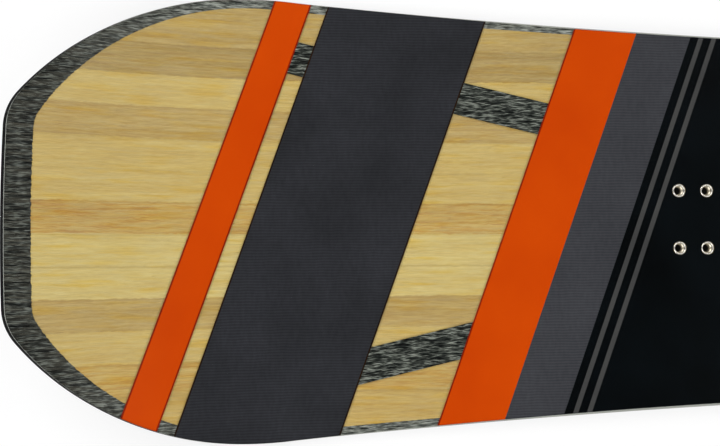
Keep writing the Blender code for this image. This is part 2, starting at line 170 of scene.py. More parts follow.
# Meshes: where doubles are merged and edges turn sharp, the steps of grids along the board, how many
# points their other lines have, and how often a place that depends on itself is worked out anew.
MERGE_DISTANCE = 1e-7
SHARP_ANGLE = math.radians(35)
OUTLINE_FINENESS = 2
FRAY_FINENESS = 10
STRIP_STEP = 0.005
STRIP_END_STEP = 0.001
PRINT_STEP = 0.006
SIDEWALL_STATIONS = 160
BAND_STATIONS = 90
BOARD_COLUMNS = 25
CENTRE_STRIP_COLUMNS = 9
STRIP_COLUMNS = 6
WEDGE_SEARCH_POINTS = 400
BAND_COLUMNS = 7
PRINT_COLUMNS = 81
BORE_SEGMENTS = 48
INSERT_SEGMENTS = 40
LIP_POINTS = 13
ROUNDS = 30

# A wave texture of scale 1 repeats after about this many metres.
WAVE_REPEAT = 0.314

# Studio: a floor whose glow grows from a share near the board to all of it, four soft lamps as
# (azimuth in degrees, watts), and the photograph's camera.
FLOOR_HALF_SIZE = 8
FLOOR_DROP = 0.0004
GLOW_START, GLOW_END = 1.1, 2.6
GLOW_NEAR_BOARD = 0.75
LAMPS = ((40, 12.7), (140, 19.0), (220, 19.0), (320, 12.7))
LAMP_SIZE = 1.4
LAMP_DISTANCE = 2.3
LAMP_RISE = math.radians(38)
CAMERA_PLACE = (-0.6105, -0.0310, 0.6821)
CAMERA_TURN = (math.radians(2.451), math.radians(-5.16), math.radians(-0.267))
CAMERA_LENS, CAMERA_SENSOR = 50.0, 36.0


def arc(start, radius, end_turn, steps):
    """Arc that leaves a point smoothly: its centre plus radius times (sin, cos) of an even turn."""
    x, y, first = start
    turn = np.linspace(first, end_turn, steps + 1)[1:]
    return np.column_stack((
        x + radius * (np.sin(turn) - np.sin(first)),
        y + radius * (np.cos(turn) - np.cos(first)),
        turn,
    ))


def sidecut(x):
    """Concave side: half the waist plus radius times (1 - cos turn), where sin turn is -x / radius."""
    turn = -np.arcsin(x / SIDECUT_RADIUS)
    return np.column_stack((x, WAIST_WIDTH / 2 + SIDECUT_RADIUS * (1 - np.cos(turn)), turn))


def tip(sidecut_end, fineness):
    """Hip, shoulder, corner and blunt end, each an arc that leaves the one before it smoothly."""
    hip = arc(sidecut(np.array([sidecut_end]))[0], HIP_RADIUS, HIP_END_TURN, 6 * fineness)
    shoulder = arc(hip[-1], SHOULDER_RADIUS, SHOULDER_END_TURN, 24 * fineness)
    corner = arc(shoulder[-1], CORNER_RADIUS, CORNER_END_TURN, 12 * fineness)
    blunt_radius = corner[-1, 1] / math.cos(CORNER_END_TURN)
    blunt = arc(corner[-1], blunt_radius, math.pi / 2, 12 * fineness)
    return np.vstack((hip, shoulder, corner, blunt))


def find_sidecut_end():
    """Half the length less what the tip adds to it, found by repeating that sum."""
    end = BOARD_LENGTH / 2
    for _ in range(ROUNDS):
        end += BOARD_LENGTH / 2 - tip(end, 1)[-1, 0]
    return end


SIDECUT_END = find_sidecut_end()


def quadrant(fineness):
    """Outline (x, y, turn) from the waist to the tip's centre line."""
    side = sidecut(np.linspace(0.0, SIDECUT_END, 40 * fineness))
    return np.vstack((side, tip(SIDECUT_END, fineness)))


def both_ends(points):
    """A quadrant carried round the waist, from the nose's centre line to the tail's."""
    return np.vstack((points[:0:-1] * (-1, 1, -1), points))


def inset(points, distance):
    """Plan points moved in from the outline by a distance, square to it."""
    x, y, turn = points.T
    return x - np.sin(turn) * distance, y - np.cos(turn) * distance


def tip_share(points):
    """Outward turn over the turn at the shoulder's end: 0 along the sides, and 1 round the blunt tips."""
    x, _, turn = points.T
    return np.clip(turn * np.sign(x) / SHOULDER_END_TURN, 0.0, 1.0)


def border_width(points):
    """Border's width: it grows from side to tip width with a power of the tip's share."""
    return BORDER_SIDE_WIDTH + (BORDER_TIP_WIDTH - BORDER_SIDE_WIDTH) * tip_share(points) ** BORDER_GROWTH


QUADRANT = quadrant(OUTLINE_FINENESS)
LEFT_OUTLINE = both_ends(QUADRANT)
WOOD_X, WOOD_Y = inset(QUADRANT, border_width(QUADRANT))


def bend(x, y, height):
    """Place a height square to the base: level, then an arc's rise, then a straight slope."""
    past = np.maximum(np.abs(x) - KICK_START, 0.0)
    arc_reach = KICK_RADIUS * math.sin(KICK_ANGLE)
    slope = np.arcsin(np.minimum(past, arc_reach) / KICK_RADIUS)
    rise = KICK_RADIUS * (1 - np.cos(slope)) + np.maximum(past - arc_reach, 0.0) * np.tan(slope)
    return np.stack((x - np.sign(x) * np.sin(slope) * height, y + 0 * x, rise + np.cos(slope) * height), -1)


def core_top(x):
    """Core's upper face: level in the middle, then a straight taper to the sidecut's end."""
    share = (np.abs(x) - CORE_LEVEL_HALF_LENGTH) / (SIDECUT_END - CORE_LEVEL_HALF_LENGTH)
    drop = CORE_MIDDLE_THICKNESS - CORE_TIP_THICKNESS
    return CORE_FOOT + CORE_MIDDLE_THICKNESS - drop * np.clip(share, 0.0, 1.0)


def sidewall_top_inset(points):
    """Where the sidewall's top lies in from the outline: its foot's inset plus its height times tan(lean).

    Round the blunt tips it is bevelled back a little more, by the third power of the tip's share."""
    lean_back = math.tan(SIDEWALL_LEAN) * (core_top(points[:, 0]) - SIDEWALL_FOOT)
    return SIDEWALL_FOOT_INSET + lean_back + TIP_BEVEL * tip_share(points) ** 3


PRINT_X, PRINT_Y = inset(QUADRANT, sidewall_top_inset(QUADRANT) + PRINT_MARGIN)


def above_core(height):
    """Level that follows the core's upper face at a height above it."""
    return lambda x: core_top(x) + height


def level(height):
    """Level at one height above the base's sole."""
    return lambda x: height + 0 * x


def linear(colour):
    """Turn an sRGB hex colour into the linear values that a shader takes."""
    channels = [int(colour[i:i + 2], 16) / 255 for i in (1, 3, 5)]
    return tuple(c / 12.92 if c <= 0.04045 else ((c + 0.055) / 1.055) ** 2.4 for c in channels) + (1.0,)


def node(tree, kind, links=None, values=None, stops=None, **settings):
    """Add a shader node with its settings, the sockets that feed it, its own values and ramp stops."""
    made = tree.nodes.new(kind)
    for name, value in settings.items():
        setattr(made, name, value)
    for socket, value in (values or {}).items():
        made.inputs[socket].default_value = value
    for socket, source in (links or {}).items():
        tree.links.new(source, made.inputs[socket])
    for number, (position, colour) in enumerate(stops or ()):
        elements = made.color_ramp.elements
        element = elements[number] if number < 2 else elements.new(position)
        element.position, element.color = position, linear(colour)
    return made


def new_material(name):
    """Empty material: returns it, its tree, and the output for places in metres."""
    material = bpy.data.materials.new(name)
    material.use_nodes = True
    tree = material.node_tree
    tree.nodes.clear()
    return material, tree, node(tree, "ShaderNodeTexCoord").outputs["Object"]


def finish(material, shader):
    """Link a shader to a material's surface, and return the material."""
    node(material.node_tree, "ShaderNodeOutputMaterial", {"Surface": shader.outputs[0]})
    return material


def clear_topsheet():
    """Clear polyamide, satin, with ripples 17 mm long: it only adds a soft gloss to what lies under it."""
    material, tree, place = new_material("clear_polyamide_topsheet")
    ripple = node(tree, "ShaderNodeTexNoise", {"Vector": place}, {"Scale": 60.0, "Detail": 2.0})
    bump = node(tree, "ShaderNodeBump", {"Height": ripple.outputs["Fac"]},
                {"Strength": 0.06, "Distance": 0.0002})
    fresnel = node(tree, "ShaderNodeFresnel", {"Normal": bump.outputs["Normal"]}, {"IOR": 1.46})
    side = node(tree, "ShaderNodeNewGeometry").outputs["Backfacing"]
    front = node(tree, "ShaderNodeMath", {1: side}, {0: 1.0}, operation="SUBTRACT").outputs[0]
    share = node(tree, "ShaderNodeMath", {0: fresnel.outputs[0], 1: front}, operation="MULTIPLY").outputs[0]
    clear = node(tree, "ShaderNodeBsdfTransparent")
    gloss = node(tree, "ShaderNodeBsdfAnisotropic", {"Normal": bump.outputs["Normal"]},
                 {"Color": linear("#C4C4C4"), "Roughness": 0.20})
    mixed = node(tree, "ShaderNodeMixShader", {0: share, 1: clear.outputs[0], 2: gloss.outputs[0]})
    return finish(material, mixed)


def drawn_noise(tree, place, scale, detail):
    """Noise with a scale of its own along each axis, in patches per metre."""
    scaled = node(tree, "ShaderNodeMapping", {"Vector": place}, {"Scale": scale})
    return node(tree, "ShaderNodeTexNoise", {"Vector": scaled.outputs[0]},
                {"Scale": 1.0, "Detail": detail}).outputs["Fac"]


def stretched(tree, place, length, width, detail):
    """Noise drawn out along X and up the kick: its patches are about length by width, in metres."""
    return drawn_noise(tree, place, (1 / length, 1 / width, 1 / length), detail)


def share_along(tree, place, start, end):
    """Share that goes from 0 at one distance from the waist, along the board, to 1 at another."""
    along = node(tree, "ShaderNodeSeparateXYZ", {"Vector": place}).outputs["X"]
    distance = node(tree, "ShaderNodeMath", {0: along}, operation="ABSOLUTE").outputs[0]
    share = node(tree, "ShaderNodeMapRange", {"Value": distance}, {"From Min": start, "From Max": end})
    return share.outputs[0]


def wavy(tree, place, size, reach):
    """Places pushed aside by up to half of reach, in patches of a size, so that drawn lines waver."""
    push = node(tree, "ShaderNodeTexNoise", {"Vector": place}, {"Scale": 1 / size, "Detail": 1.0})
    centred = node(tree, "ShaderNodeVectorMath", {0: push.outputs["Color"]}, {1: (0.5, 0.5, 0.5)},
                   operation="SUBTRACT").outputs[0]
    scaled = node(tree, "ShaderNodeVectorMath", {0: centred}, {1: (0.0, reach, 0.0)},
                  operation="MULTIPLY").outputs[0]
    return node(tree, "ShaderNodeVectorMath", {0: place, 1: scaled}, operation="ADD").outputs[0]


def glass_laminate():
    """Glass cloth in epoxy, wetted out: almost clear, with a faint haze along its wavering rovings."""
    material, tree, place = new_material("wetted_glass_laminate")
    rovings = stretched(tree, wavy(tree, place, 0.009, 0.0014), 0.024, 0.0012, 1.0)
    haze = node(tree, "ShaderNodeMapRange", {"Value": rovings},
                {"From Min": 0.40, "From Max": 0.70, "To Min": 0.0, "To Max": 0.045}).outputs[0]
    clear = node(tree, "ShaderNodeBsdfTransparent")
    cloud = node(tree, "ShaderNodeBsdfDiffuse", values={"Color": linear("#D8D4BC")})
    mixed = node(tree, "ShaderNodeMixShader", {0: haze, 1: clear.outputs[0], 2: cloud.outputs[0]})
    return finish(material, mixed)


# Wood tones, and the strips across the board from the right side's outermost to the left side's.
SAPWOOD, STRAW, HONEY, TAN, DRAB = "#DCC67F", "#D5BB74", "#CEB069", "#C4A96A", "#B9A065"
STRIP_COLOURS = (
    HONEY, HONEY, HONEY, STRAW, TAN, SAPWOOD, SAPWOOD, HONEY, STRAW, STRAW, TAN, STRAW, DRAB, TAN, TAN,
)
# How much reddish heartwood runs through each of them, from none (black) to all of it (white).
HEARTWOOD = (
    "#181818", "#181818", "#A0A0A0", "#202020", "#484848", "#181818", "#101010", "#B0B0B0",
    "#282828", "#202020", "#606060", "#181818", "#707070", "#181818", "#181818",
)
# From strip to strip the grain moves on by so many metres of plank.
PLANK_SHIFT = 3.7


def plank_places(tree, place, across):
    """Places on the plank that each strip comes from: shifted by the strip's own number."""
    number = node(tree, "ShaderNodeMath", {0: across}, {1: float(len(STRIP_COLOURS))}, operation="MULTIPLY")
    number = node(tree, "ShaderNodeMath", {0: number.outputs[0]}, operation="FLOOR")
    shift = node(tree, "ShaderNodeMath", {0: number.outputs[0]}, {1: PLANK_SHIFT}, operation="MULTIPLY")
    shift = node(tree, "ShaderNodeCombineXYZ", {"X": shift.outputs[0], "Z": number.outputs[0]})
    return node(tree, "ShaderNodeVectorMath", {0: place, 1: shift.outputs[0]}, operation="ADD").outputs[0]


def grained(tree, shown, plank):
    """Tone with growth bands 140 by 7 mm, grain lines 25 by 1.4 mm and pores 6 by 0.7 mm, and the grain."""
    growth = stretched(tree, plank, 0.140, 0.007, 1.0)
    grain = stretched(tree, wavy(tree, plank, 0.005, 0.0016), 0.025, 0.0014, 1.0)
    pores = stretched(tree, wavy(tree, plank, 0.004, 0.0008), 0.006, 0.0007, 1.0)
    for layer, share in ((growth, 0.12), (grain, 0.13), (pores, 0.13)):
        spread = node(tree, "ShaderNodeMapRange", {"Value": layer}, {"From Min": 0.32, "From Max": 0.68})
        shown = node(tree, "ShaderNodeMix", {6: shown, 7: spread.outputs[0]}, {0: share},
                     data_type="RGBA", blend_type="SOFT_LIGHT").outputs[2]
    return shown, grain


def stained(tree, shown, place, plank, heartwood):
    """Yellow sap stains everywhere, brown heartwood streaks by strip, and a few flecks 4.5 mm long."""
    stain = stretched(tree, wavy(tree, plank, 0.012, 0.0016), 0.036, 0.0042, 2.0)
    streak = stretched(tree, wavy(tree, plank, 0.004, 0.0020), 0.024, 0.0012, 2.0)
    fleck = stretched(tree, place, 0.0045, 0.0007, 0.0)
    for layer, strip_share, even_share, stops in (
        (stain, {}, {0: 0.8}, ((0.30, "#FFFBF6"), (0.50, "#FFFFFF"), (0.70, "#FFF1BA"))),
        (streak, {0: heartwood}, {}, ((0.44, "#FFFFFF"), (0.56, "#F7D69C"), (0.69, "#D0914A"))),
        (fleck, {}, {0: 0.7}, ((0.86, "#FFFFFF"), (0.90, "#A9854F"))),
    ):
        tint = node(tree, "ShaderNodeValToRGB", {"Fac": layer}, stops=stops).outputs[0]
        shown = node(tree, "ShaderNodeMix", {6: shown, 7: tint, **strip_share}, even_share,
                     data_type="RGBA", blend_type="MULTIPLY").outputs[2]
    return shown


def glue_share(tree, offset):
    """Share of glue: a thin line wherever two strips meet, darker at some joints than at others."""
    joint = node(tree, "ShaderNodeMath", {0: offset}, {1: STRIP_WIDTH / 2}, operation="PINGPONG").outputs[0]
    near = node(tree, "ShaderNodeMapRange", {"Value": joint},
                {"From Min": 0.0002, "From Max": 0.0011, "To Min": 1.0, "To Max": 0.0}).outputs[0]
    count = node(tree, "ShaderNodeMath", {0: offset}, {1: STRIP_WIDTH}, operation="DIVIDE").outputs[0]
    count = node(tree, "ShaderNodeMath", {0: count}, operation="ROUND").outputs[0]
    chance = node(tree, "ShaderNodeTexWhiteNoise", {"W": count}, noise_dimensions="1D").outputs["Value"]
    depth = node(tree, "ShaderNodeMapRange", {"Value": chance},
                 {"From Min": 0.2, "To Min": 0.02, "To Max": 0.26}).outputs[0]
    return node(tree, "ShaderNodeMath", {0: near, 1: depth}, operation="MULTIPLY").outputs[0]


def poplar_core():
    """Poplar strips, sliced and sanded: pale yellow, some of them browner, with a fine long grain."""
    material, tree, place = new_material("sanded_poplar_strips")
    # The epoxy creeps along the fibres, so a joint looks ragged by half a millimetre.
    ragged = node(tree, "ShaderNodeSeparateXYZ", {"Vector": wavy(tree, place, 0.003, 0.0018)}).outputs["Y"]
    edge = STRIP_WIDTH * len(STRIP_COLOURS) / 2
    across = node(tree, "ShaderNodeMapRange", {"Value": ragged},
                  {"From Min": -edge, "From Max": edge}).outputs[0]
    strips, heartwood = (
        node(tree, "ShaderNodeValToRGB", {"Fac": across},
             stops=[(number / len(tones), tone) for number, tone in enumerate(tones)])
        for tones in (STRIP_COLOURS, HEARTWOOD)
    )
    strips.color_ramp.interpolation = heartwood.color_ramp.interpolation = "CONSTANT"
    plank = plank_places(tree, place, across)
    shown, grain = grained(tree, strips.outputs[0], plank)
    shown = stained(tree, shown, place, plank, heartwood.outputs[0])
    offset = node(tree, "ShaderNodeMath", {0: ragged}, {1: edge}, operation="ADD").outputs[0]
    glued = node(tree, "ShaderNodeMix", {0: glue_share(tree, offset), 6: shown}, {7: linear("#8A6A34")},
                 data_type="RGBA").outputs[2]
    bump = node(tree, "ShaderNodeBump", {"Height": grain}, {"Strength": 0.1, "Distance": 0.0001})
    wood = node(tree, "ShaderNodeBsdfPrincipled",
                {"Base Color": glued, "Normal": bump.outputs["Normal"]},
                {"Roughness": 0.55, "Specular IOR Level": 0.1})
    return finish(material, wood)


def fibre_cloth(name, turns, length, reach, tones, side_tones=None):
    """Wetted fibre cloth: pale and dark threads 0.6 mm wide, of a length, that waver by half of reach.

    Two layers of threads, each with its own turn from the board's length, show through each other,
    and tufts 6 mm long and 1.8 mm wide darken them in clumps. Cloth that thins out along the long
    sides has tones of its own there."""
    material, tree, place = new_material(name)
    layers = []
    for turn in turns:
        along = node(tree, "ShaderNodeMapping", {"Vector": place},
                     {"Rotation": (0.0, 0.0, -turn), "Location": (turn, 0.0, turn)}).outputs[0]
        layers.append(stretched(tree, wavy(tree, along, 0.005, reach), length, 0.0006, 1.0))
    threads = node(tree, "ShaderNodeMath", {0: layers[0], 1: layers[1]}, operation="MAXIMUM").outputs[0]
    tufts = stretched(tree, place, 0.0060, 0.0018, 2.0)
    woven = node(tree, "ShaderNodeMix", {2: threads, 3: tufts}, {0: 0.36}).outputs[0]
    levels = (0.45, 0.55, 0.67)
    shown, *side = (
        node(tree, "ShaderNodeValToRGB", {"Fac": woven}, stops=tuple(zip(levels, row))).outputs[0]
        for row in (tones, side_tones) if row
    )
    if side:
        share = share_along(tree, place, CLOTH_FULL_FROM, CLOTH_THIN_UP_TO)
        shown = node(tree, "ShaderNodeMix", {0: share, 6: shown, 7: side[0]}, data_type="RGBA").outputs[2]
    bump = node(tree, "ShaderNodeBump", {"Height": woven}, {"Strength": 0.2, "Distance": 0.0002})
    cloth = node(tree, "ShaderNodeBsdfPrincipled",
                 {"Base Color": shown, "Normal": bump.outputs["Normal"]},
                 {"Roughness": 0.5, "Specular IOR Level": 0.05})
    return finish(material, cloth)


def ink(name, colour, deep, ribbed):
    """Screen ink on the topsheet's underside: flat colour with faint clouds 45 mm wide where it is thin.

    Ribbed ink is laid in ribs 1.9 mm apart along the board, with cross threads 2.2 mm wide."""
    material, tree, place = new_material(name)
    cloud = node(tree, "ShaderNodeTexNoise", {"Vector": place}, {"Scale": 22.0, "Detail": 4.0}).outputs["Fac"]
    tone = node(tree, "ShaderNodeValToRGB", {"Fac": cloud}, stops=((0.30, deep), (0.70, colour)))
    shown = tone.outputs[0]
    if ribbed:
        ribs = node(tree, "ShaderNodeTexWave", {"Vector": wavy(tree, place, 0.012, 0.0012)},
                    {"Scale": WAVE_REPEAT / 0.0019, "Distortion": 0.0}, bands_direction="Y").outputs["Fac"]
        threads = stretched(tree, place, 0.0022, 0.0060, 1.0)
        relief = node(tree, "ShaderNodeMix", {2: ribs, 3: threads}, {0: 0.5}).outputs[0]
        shown = node(tree, "ShaderNodeMix", {6: shown, 7: relief}, {0: 0.35},
                     data_type="RGBA", blend_type="SOFT_LIGHT").outputs[2]
    film = node(tree, "ShaderNodeBsdfPrincipled", {"Base Color": shown},
                {"Roughness": 0.5, "Specular IOR Level": 0.0})
    return finish(material, film)


def milled(name, colour, worn, roughness, gloss=0.5):
    """Cut plastic, rubber or laminate: even colour with the cutter's lines 0.4 mm apart along the board."""
    material, tree, place = new_material(name)
    lines = drawn_noise(tree, place, (60.0, 60.0, 2500.0), 2.0)
    tone = node(tree, "ShaderNodeValToRGB", {"Fac": lines}, stops=((0.35, colour), (0.70, worn)))
    bump = node(tree, "ShaderNodeBump", {"Height": lines}, {"Strength": 0.2, "Distance": 0.0001})
    plastic = node(tree, "ShaderNodeBsdfPrincipled",
                   {"Base Color": tone.outputs[0], "Normal": bump.outputs["Normal"]},
                   {"Roughness": roughness, "IOR": 1.53, "Specular IOR Level": gloss})
    return finish(material, plastic)


def ground_metal(name, colour, roughness, stretch, scale_beyond=None):
    """Ground or turned steel: a metal whose roughness varies in fine lines left by the tool.

    The lines are drawn about a millimetre apart, coarser than the real ones, so that they show.
    Beyond a distance from the waist, steel that the grinder doesn't reach keeps its black scale."""
    material, tree, place = new_material(name)
    lines = drawn_noise(tree, place, stretch, 3.0)
    rough = node(tree, "ShaderNodeMapRange", {"Value": lines},
                 {"To Min": roughness * 0.8, "To Max": roughness * 1.2}).outputs[0]
    bump = node(tree, "ShaderNodeBump", {"Height": lines}, {"Strength": 0.15, "Distance": 0.00005})
    links = {"Roughness": rough, "Normal": bump.outputs["Normal"]}
    if scale_beyond:
        share = share_along(tree, place, scale_beyond, scale_beyond + EDGE_SCALE_FADE)
        links["Base Color"] = node(tree, "ShaderNodeMix", {0: share},
                                   {6: linear(colour), 7: linear("#060607")}, data_type="RGBA").outputs[2]
        links["Roughness"] = node(tree, "ShaderNodeMix", {0: share, 2: rough}, {3: 0.75}).outputs[0]
    metal = node(tree, "ShaderNodeBsdfPrincipled", links, {"Base Color": linear(colour), "Metallic": 1.0})
    return finish(material, metal)


def sintered_base():
    """Sintered polyethylene, stone ground: waxed black, with lengthwise grooves 0.8 mm apart."""
    material, tree, place = new_material("stone_ground_sintered_base")
    grooves = node(tree, "ShaderNodeTexWave", {"Vector": place},
                   {"Scale": WAVE_REPEAT / 0.0008, "Distortion": 2.0, "Detail": 2.0}, bands_direction="Y")
    cloud = node(tree, "ShaderNodeTexNoise", {"Vector": place}, {"Scale": 14.0, "Detail": 5.0}).outputs["Fac"]
    tone = node(tree, "ShaderNodeValToRGB", {"Fac": cloud}, stops=((0.30, "#121316"), (0.75, "#1F2124")))
    bump = node(tree, "ShaderNodeBump", {"Height": grooves.outputs["Fac"]},
                {"Strength": 0.25, "Distance": 0.00005})
    rough = node(tree, "ShaderNodeMapRange", {"Value": cloud}, {"To Min": 0.28, "To Max": 0.42}).outputs[0]
    sole = node(tree, "ShaderNodeBsdfPrincipled",
                {"Base Color": tone.outputs[0], "Roughness": rough, "Normal": bump.outputs["Normal"]},
                {"IOR": 1.51})
    return finish(material, sole)


TOPSHEET = clear_topsheet()
LAMINATE = glass_laminate()
POPLAR = poplar_core()
BORDER_CLOTH = fibre_cloth("grey_fibre_border_cloth", (0.03, -0.03), 0.008, 0.0016,
                           ("#020403", "#262926", "#737871"), ("#222624", "#6E726C", "#ACB1A8"))
BAND_CLOTH = {
    sign: fibre_cloth("fibre_band_cloth_" + way, (sign * 0.14, sign * -0.10), 0.010, 0.0014,
                      ("#0A0C0C", "#353934", "#90958B"))
    for sign, way in ((1, "rising"), (-1, "falling"))
}
INKS = {
    "orange": ink("orange_screen_ink", "#D04903", "#C84202", False),
    "charcoal": ink("ribbed_charcoal_screen_ink", "#313236", "#292A2D", True),
    "slate": ink("ribbed_slate_screen_ink", "#404145", "#3A3B3F", True),
    "black": ink("black_screen_ink", "#070C0F", "#030506", False),
    "grey": ink("mid_grey_screen_ink", "#4A4A49", "#414141", False),
    # Keyline inks: dark rims round the bars, partly print and partly painted shadow of their edges.
    "red": ink("dark_red_keyline_and_painted_shadow_ink", "#8E1F06", "#7C1A05", False),
    "brown": ink("brown_black_keyline_and_painted_shadow_ink", "#2A1B10", "#1A110B", False),
}
# Pale cut edges of the upper laminate and topsheet: partly the frosted look of a cut clear sheet, partly a
# painted highlight where the edge catches the light.
FROSTED_AND_HIGHLIT_CUT = milled("frosted_cut_edge_with_painted_highlight", "#BCC0B8", "#DADDD5", 0.5)
SIDEWALL_ABS = milled("milled_grey_abs", "#82857E", "#96998F", 0.5, 0.3)
SPACER_ABS = milled("milled_black_abs", "#020303", "#060707", 0.6, 0.1)
RUBBER = milled("vibration_rubber_foil", "#131313", "#1C1C1C", 0.8)
LOWER_LAMINATE = milled("cured_lower_glass_laminate", "#8E9276", "#A3A78C", 0.4)
EDGE_STEEL = ground_metal("ground_hardened_edge_steel", "#96979A", 0.28, (40.0, 900.0, 900.0), KICK_START)
INSERT_STEEL = ground_metal("turned_stainless_insert_steel", "#F8F4EA", 0.27, (900.0, 900.0, 1500.0))
# The thread's steel is painted darker than the insert's own: painted shade down the bore.
SHADED_THREAD_STEEL = ground_metal("tapped_insert_thread", "#B8B1A0", 0.30, (900.0, 900.0, 1500.0))
# Near-black on the blind bore's floor: painted shade at the bottom of the hole.
BORE_PAINTED_SHADE = milled("painted_shade_on_blind_hole_floor", "#171512", "#26221D", 0.7, 0.2)
SINTERED = sintered_base()


def add_object(name, data):
    """Object of a mesh, lamp or camera, linked to the scene."""
    made = bpy.data.objects.new(name, data)
    bpy.context.collection.objects.link(made)
    return made


def shade(mesh):
    """Smooth shading, with sharp edges where two faces turn by more than 35 degrees."""
    mesh.shade_smooth()
    mesh.set_sharp_from_angle(angle=SHARP_ANGLE)


def add_piece(name, points, faces, materials, indices, slot, replaced):
    """Make a closed mesh of points and faces, with its doubles merged and its faces pointing out."""
    mesh = bpy.data.meshes.new(name)
    mesh.from_pydata(points.tolist(), [], faces)
    for material in materials:
        mesh.materials.append(material)
    mesh.polygons.foreach_set("material_index", np.asarray(indices, dtype=np.int32))
    work = bmesh.new()
    work.from_mesh(mesh)
    bmesh.ops.remove_doubles(work, verts=work.verts, dist=MERGE_DISTANCE)
    bmesh.ops.dissolve_degenerate(work, edges=work.edges, dist=MERGE_DISTANCE)
    bmesh.ops.recalc_face_normals(work, faces=work.faces)
    work.to_mesh(mesh)
    work.free()
    shade(mesh)
    piece = add_object(name, mesh)
    if slot:
        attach(piece, "root")
    if replaced:
        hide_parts(*replaced)
    return piece


def ring_faces(rows, count):
    """Quads from ring to ring, and the first and last ring, as numbers of the rings' points."""
    index = np.arange(rows * count).reshape(rows, count)
    ahead = np.roll(index, -1, axis=1)
    quads = np.stack((index[:-1], ahead[:-1], ahead[1:], index[1:]), axis=-1)
    return quads.reshape(-1, 4), index[[0, -1]]


def loft(name, rings, materials, slot, replaced=(), ring_materials=None):
    """Closed skin through equal rings, an (n, k, 3) array: quads from ring to ring and a face on each end."""
    rows, count, _ = rings.shape
    quads, ends = ring_faces(rows, count)
    faces = quads.tolist() + ends.tolist()
    kinds = np.broadcast_to(np.zeros(1, int) if ring_materials is None else ring_materials, (rows - 1, count))
    indices = np.concatenate((kinds.ravel(), [kinds[0, 0], kinds[-1, -1]]))
    return add_piece(name, rings.reshape(-1, 3), faces, materials, indices, slot, replaced)


def slab(name, x, y, foot, top, materials, slot, replaced=()):
    """Closed sheet over a plan grid: the grid at its foot, the same grid at its top, and walls between.

    The broad faces have the first material, and the walls have the last."""
    rows, count = x.shape
    lower, upper = bend(x, y, foot(x)), bend(x, y, top(x))
    index = np.arange(2 * rows * count).reshape(2, rows, count)

    def between(a, b):
        """Quads between two lines of point numbers."""
        return np.stack((a[..., :-1], a[..., 1:], b[..., 1:], b[..., :-1]), axis=-1).reshape(-1, 4)

    broad = np.vstack([between(index[layer, :-1], index[layer, 1:]) for layer in (0, 1)])
    walls = np.vstack([
        between(line[0], line[1])
        for line in (index[:, 0], index[:, -1], index[:, :, 0], index[:, :, -1])
    ])
    points = np.concatenate((lower.reshape(-1, 3), upper.reshape(-1, 3)))
    indices = np.repeat((0, max(len(materials) - 1, 0)), (len(broad), len(walls)))
    return add_piece(name, points, np.vstack((broad, walls)).tolist(), materials, indices, slot, replaced)


def plan_grid(x, half, columns):
    """Plan grid over places along the board: y runs from -1 to 1 times the half width there."""
    y = half[:, None] * np.linspace(-1.0, 1.0, columns)
    return x[:, None] + 0 * y, y


def board_grid(distance):
    """Plan grid of the whole board moved in from its outline by a distance."""
    return plan_grid(*inset(LEFT_OUTLINE, distance), BOARD_COLUMNS)


def rim(name, outline, profile, side, materials, slot, replaced, ring_materials=None):
    """Profile of (inset, height) carried along the outline, square to it; side is 1 at the left, or -1."""
    distance, height = profile
    x, y = inset(outline, distance.T)
    rings = bend(x, side * np.maximum(y, BOND / 2), height.T)
    return loft(name, rings.transpose(1, 0, 2), materials, slot, replaced, ring_materials)


def border_profile(outline, foot):
    """Border section as insets and heights: its outer face leans in, and its top is level with the core."""
    full = np.ones(len(outline))
    outer, inner = sidewall_top_inset(outline), border_width(outline) - BOND
    outer_top = core_top(inset(outline, outer)[0])
    inner_top = core_top(inset(outline, inner)[0])
    distance = np.column_stack((SIDEWALL_FOOT_INSET * full, outer, inner, inner))
    return distance, np.column_stack((foot * full, outer_top, inner_top, foot * full))


def edge_profile(outline):
    """Square steel rail with eased outer corners and a thin flange reaching in over the base."""
    flange_end = EDGE_WIDTH + EDGE_FLANGE_REACH
    flange_foot = EDGE_HEIGHT - EDGE_FLANGE_THICKNESS
    section = np.array((
        (EDGE_CHAMFER, 0.0), (0.0, EDGE_CHAMFER), (0.0, EDGE_HEIGHT - EDGE_CHAMFER),
        (EDGE_CHAMFER, EDGE_HEIGHT), (flange_end, EDGE_HEIGHT), (flange_end, flange_foot),
        (EDGE_WIDTH, flange_foot), (EDGE_WIDTH, 0.0),
    ))
    full = np.ones((len(outline), 1))
    return full * section[:, 0], full * section[:, 1]


def build_rims():
    """Steel edges, rubber foils, sidewalls and tip spacers."""
    side_x = np.linspace(-SIDECUT_END + BOND, SIDECUT_END - BOND, SIDEWALL_STATIONS)
    sides = sidecut(side_x)
    full = np.ones(len(sides))
    outer, inner = SIDEWALL_FOOT_INSET * full, border_width(sides) - BOND
    foil = (
        np.column_stack((outer, outer, inner, inner)),
        full[:, None] * (CORE_FOOT, RUBBER_TOP, RUBBER_TOP, CORE_FOOT),
    )
    for way, side in SIDES:
        rim("ground_edge_" + way, LEFT_OUTLINE, edge_profile(LEFT_OUTLINE), side, [EDGE_STEEL],
            "edge_steel", ["steel_edge_" + way])
        rim("rubber_foil_" + way, sides, foil, side, [RUBBER], "rubber_foil", ["rubber_strip_" + way])
        rim("milled_sidewall_" + way, sides, border_profile(sides, SIDEWALL_FOOT), side,
            [SIDEWALL_ABS, BORDER_CLOTH], "sidewall_abs", ["sidewall_" + way], (0, 1, 0, 0))
    quarter = QUADRANT[QUADRANT[:, 0] >= SIDECUT_END - MERGE_DISTANCE]
    distance, height = border_profile(quarter, CORE_FOOT)
    x, y = inset(quarter, distance.T)
    half = bend(x, y, height.T).transpose(1, 0, 2)
    tail = np.concatenate((half, half[-2::-1] * (1, -1, 1)))
    for end, sign in ENDS:
        loft("milled_spacer_" + end, tail * (sign, 1, 1), [SPACER_ABS, BORDER_CLOTH], "abs",
             [end + "_spacer"], (0, 1, 0, 0))


